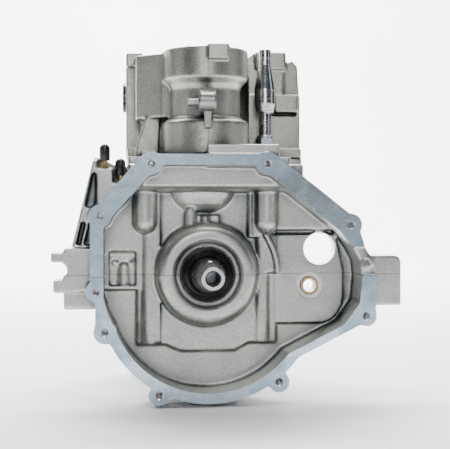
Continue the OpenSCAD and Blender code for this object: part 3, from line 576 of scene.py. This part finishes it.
# ---------------------------------------------------------------- tower
TOWER_FOOT = 123.8
tower = remeshed(joined("selector_tower_casting", [copy_of("selector_tower")]), TOWER_GRID, ROUNDS)
boolean(tower, [box((-120, 140), (0, 260), (120, TOWER_FOOT))])
lighter(tower, TOWER_TRIANGLES)
paint(tower, CAST_TOWER)
smooth_by_angle(tower)
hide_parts("selector_tower")
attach(tower, "case")

# ---------------------------------------------------------------- gland nut of the selector rod
def hexagon(centre, tall, across, bore):
    """A nut along z with its corners turned off at both ends and a countersunk bore; sizes in mm."""
    corner = across / 2 / math.cos(math.pi / 6)
    cone = across / 2 + 0.3 * (corner - across / 2)
    drop = (corner - cone) * 0.6
    nut = rod(centre, "z", tall, corner, 6)
    envelope = [(0, -1), (corner + 1, -1), (corner + 0.5, drop), (corner + 0.5, tall - drop),
                (cone, tall), (0, tall)]
    boolean(nut, [turned(envelope, centre, "z", 48)], "INTERSECT")
    drill = [(0, -1), (bore, -1), (bore, tall - 0.6), (bore + 1.2, tall + 0.6), (0, tall + 0.6)]
    return boolean(nut, [turned(drill, centre, "z", 48)])


GLAND_BORE, WASHER_TALL, HEX_TALL, HEX_ACROSS = 6.7, 1.2, 10.6, 18.4
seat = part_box("gland_nut")[0].z / MM
washer = [(GLAND_BORE, 0), (11.9, 0), (12, 0.3), (12, 0.9), (11.7, WASHER_TALL), (GLAND_BORE, WASHER_TALL)]
collar = [(GLAND_BORE, 0), (8.6, 0), (8.6, 2.2), (8.0, 3.0), (GLAND_BORE, 3.0)]
gland = [hexagon((*SELECTOR, seat + WASHER_TALL), HEX_TALL, HEX_ACROSS, GLAND_BORE),
         turned(washer, (*SELECTOR, seat), "z", 64),
         turned(collar, (*SELECTOR, seat + WASHER_TALL + HEX_TALL), "z", 64)]
gland = joined("gland_nut_zinc", gland)
paint(gland, ZINC)
smooth_by_angle(gland, 30)
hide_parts("gland_nut")
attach(gland, "case")

# ---------------------------------------------------------------- hose clip on the tower
clip = remeshed(joined("hose_clip_casting", [copy_of("clip_bracket")]), voxel=0.6, rounds=5)
paint(clip, CAST_STEEL)
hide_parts("clip_bracket")
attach(clip, "case")

# ---------------------------------------------------------------- hose nipples and their caps
NIPPLES = [(-105, 50, 109.5), (-89, 50, 94.5)]
NIPPLE_R, CAP_R = 3.0, 5.5


def dome(r, base, tall, steps=10):
    """Half of a round-topped cap's profile."""
    side = [(r * 0.93, base), (r, base + 0.8), (r, base + tall - r)]
    angles = np.linspace(0, math.pi / 2, steps)[1:-1]
    top = [(r * math.cos(a), base + tall - r + r * math.sin(a)) for a in angles]
    return side + top + [(0, base + tall)]


cap_low, cap_high = (corner.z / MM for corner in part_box("nipple_caps"))
cap_lift = cap_low - NIPPLES[1][2]
cap_tall = cap_high - (NIPPLES[0][2] + cap_low - NIPPLES[1][2])
caps, stems = [], []
for x, y, seat in NIPPLES:
    foot = seat + cap_lift
    inside = [(0, foot + 0.4), (NIPPLE_R + 0.4, foot + 0.4), (NIPPLE_R + 0.5, foot)]
    caps.append(turned(inside + dome(CAP_R, foot, cap_tall), (x, y, 0), "z", 48))
    stem = [(0, seat - 6), (NIPPLE_R, seat - 6), (NIPPLE_R, seat - 0.1), (4.3, seat), (4.3, seat + 1.4),
            (NIPPLE_R, seat + 1.8), (NIPPLE_R, seat + 3.0), (NIPPLE_R + 0.5, seat + 3.8),
            (NIPPLE_R - 0.2, seat + 5.5), (NIPPLE_R - 0.2, foot + 4), (0, foot + 4)]
    stems.append(turned(stem, (x, y, 0), "z", 48))
rubber_caps = joined("nipple_rubber_caps", caps)
paint(rubber_caps, RUBBER)
smooth_by_angle(rubber_caps, 40)
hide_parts("nipple_caps")
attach(rubber_caps, "case")
brass_stems = joined("nipple_brass_stems", stems)
paint(brass_stems, BRASS)
smooth_by_angle(brass_stems, 30)
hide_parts("hose_nipples")
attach(brass_stems, "case")

# ---------------------------------------------------------------- input shaft and its seal
NOSE_END = 16.0  # up to this y the shaft is turned here, and behind it the CAD shape stays
NOSE_FACE = -34.9
THREAD_ROOT, THREAD_CREST, PITCH = 6.9, 6.35, 1.25
THREAD_LOW, THREAD_HIGH = -33.0, 4.0
threads = []
for i in range(int((THREAD_HIGH - THREAD_LOW) / PITCH)):
    y = THREAD_HIGH - i * PITCH
    threads += [(THREAD_ROOT, y), (THREAD_CREST, y - PITCH * 0.45), (THREAD_CREST, y - PITCH * 0.55)]
bore = [(0, 7), (6.4, 7)] + threads + [(THREAD_ROOT, THREAD_LOW), (7.8, NOSE_FACE)]
cone = [(10.8, NOSE_FACE), (11.4, -34.3), (11.9, -27), (12.1, -26.4), (13.3, -18), (15.2, -4), (16.6, 8),
        (17.4, 14), (17.4, NOSE_END), (0, NOSE_END)]
nose = boolean(turned(bore + cone, (0, 0, 0), "y", 128), [box((-1.8, 1.8), (-13, -3), (12.6, 20))])
rear = boolean(copy_of("input_shaft"), [box((-60, 60), (NOSE_END, 120), (-60, 60))], "INTERSECT", "EXACT")
spindle = joined("input_shaft_ground", [nose, rear])
paint(spindle, SHAFT, (TIP, lambda c, n: c[:, 1] < -34.2),
      (BORE, lambda c, n: (radius_from(c, 0, 0) < 7.0) & (c[:, 1] > -34.2) & (c[:, 1] < 8)))
smooth_by_angle(spindle, 28)
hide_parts("input_shaft")
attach(spindle, "input")

seal_body = [(SEAL_R, 27.3), (SEAL_R, 36.8), (26.6, 36.8), (26.6, 31), (21, 31)]
seal_lip = [(19.6, 35), (18.0, 34.6), (17.6, 33.8), (17.9, 31.5), (19.4, 28.2), (20.4, 27.6)]
seal_rings = [(21.0, 28.8), (22.4, 29.4), (23.4, 28.6), (24.2, 28.0), (24.8, 28.9), (25.6, 29.1),
              (26.2, 27.8), (26.8, 27.3)]
seal = turned(seal_body + seal_lip + seal_rings, (0, 0, 0), "y", 128)
seal.name = "input_lip_seal"
paint(seal, RUBBER)
smooth_by_angle(seal, 50)
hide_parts("input_seal")
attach(seal, "case")

# ---------------------------------------------------------------- floor, light and camera
FLOOR = cad_box[0][2] - 0.0005
HALF_WIDTH, FRONT_EDGE, CURVE_START, CURVE_R, WALL_TOP = 6.0, -4.0, 2.2, 1.2, 6.0
sweep = [(FRONT_EDGE, 0.0)]
for i in range(25):
    a = math.pi / 2 * i / 24
    sweep.append((CURVE_START + CURVE_R * math.sin(a), CURVE_R * (1 - math.cos(a))))
sweep.append((CURVE_START + CURVE_R, WALL_TOP))
bm = bmesh.new()
rows = [[bm.verts.new((x, y, FLOOR + z)) for x in (-HALF_WIDTH, HALF_WIDTH)] for y, z in sweep]
for a, b in zip(rows, rows[1:]):
    bm.faces.new((a[0], a[1], b[1], b[0]))
floor = from_bmesh("studio_floor", bm)
floor.data.shade_smooth()
paper = Shader("studio_paper", (0.93, 0.93, 0.93), metallic=0.0, rough=0.7)
mottle = paper.ramp(paper.noise(900, detail=2), 0.0, 1.0)
paper.colour(paper.mixed(mottle, (0.91, 0.91, 0.915), (0.95, 0.95, 0.95)))
floor.data.materials.append(paper.material)


def softbox(name, place, target, size, watts, colour=(1, 1, 1)):
    data = bpy.data.lights.new(name, "AREA")
    data.shape = "RECTANGLE"
    data.size, data.size_y = size
    data.energy = watts
    data.color = colour
    lamp = bpy.data.objects.new(name, data)
    lamp.location = place
    lamp.rotation_euler = (Vector(target) - Vector(place)).to_track_quat("-Z", "Y").to_euler()
    bpy.context.scene.collection.objects.link(lamp)


MIDDLE = (0.015, 0.05, 0.05)
COOL = (0.94, 0.97, 1.0)
softbox("front_high", (-0.12, -1.7, 0.62), MIDDLE, (0.6, 0.4), 8)
softbox("key_top", (0.15, -0.45, 1.5), MIDDLE, (0.4, 0.3), 11)
softbox("right_strip", (1.3, -0.35, 0.3), MIDDLE, (0.18, 1.2), 1.5, COOL)
softbox("left_strip", (-1.3, -0.15, 0.3), MIDDLE, (0.18, 1.2), 1.5, COOL)
softbox("rear_fill", (0.6, 2.2, 1.4), MIDDLE, (1.2, 1.0), 5)
softbox("backdrop_wash", (0, 1.6, 2.6), (0, 3.2, 0.6), (4.0, 1.0), 620)
softbox("floor_wash", (0, 1.2, 2.8), (0, 1.5, -0.1), (3.0, 1.6), 100)


def studio_world():
    """White behind the part, and a dark blue room with a paler ceiling in what the metal mirrors."""
    world = bpy.data.worlds.new("studio")
    world.use_nodes = True
    nodes, link = world.node_tree.nodes, world.node_tree.links.new
    white = nodes["Background"]
    white.inputs["Color"].default_value = (0.95, 0.95, 0.96, 1)
    white.inputs["Strength"].default_value = 1.0
    room = nodes.new("ShaderNodeBackground")
    room.inputs["Strength"].default_value = 1.0
    direction = nodes.new("ShaderNodeSeparateXYZ")
    link(nodes.new("ShaderNodeTexCoord").outputs["Generated"], direction.inputs[0])
    height = nodes.new("ShaderNodeMapRange")
    height.inputs["From Min"].default_value = -1.0
    link(direction.outputs[2], height.inputs["Value"])
    fade = nodes.new("ShaderNodeValToRGB")
    floor_end, ceiling = fade.color_ramp.elements
    floor_end.position, floor_end.color = 0.35, (0.018, 0.022, 0.03, 1)
    ceiling.position, ceiling.color = 1.0, (0.12, 0.14, 0.18, 1)
    fade.color_ramp.elements.new(0.6).color = (0.022, 0.028, 0.04, 1)
    link(height.outputs[0], fade.inputs[0])
    link(fade.outputs[0], room.inputs["Color"])
    either = nodes.new("ShaderNodeMixShader")
    link(nodes.new("ShaderNodeLightPath").outputs["Is Camera Ray"], either.inputs[0])
    link(room.outputs[0], either.inputs[1])
    link(white.outputs[0], either.inputs[2])
    link(either.outputs[0], nodes["World Output"].inputs[0])
    return world


bpy.context.scene.world = studio_world()

AZIMUTH, ELEVATION, AWAY = math.radians(-6), math.radians(1), 1.0
AIM = Vector((0.015, 0, 0.052))
camera = bpy.data.objects.new("camera", bpy.data.cameras.new("camera"))
camera.location = AIM + AWAY * Vector((math.sin(AZIMUTH) * math.cos(ELEVATION),
                                       -math.cos(AZIMUTH) * math.cos(ELEVATION), math.sin(ELEVATION)))
camera.rotation_euler = (AIM - camera.location).to_track_quat("-Z", "Y").to_euler()
camera.data.sensor_width = 36
camera.data.lens = 80
camera.data.clip_end = 20
bpy.context.scene.collection.objects.link(camera)
bpy.context.scene.camera = camera
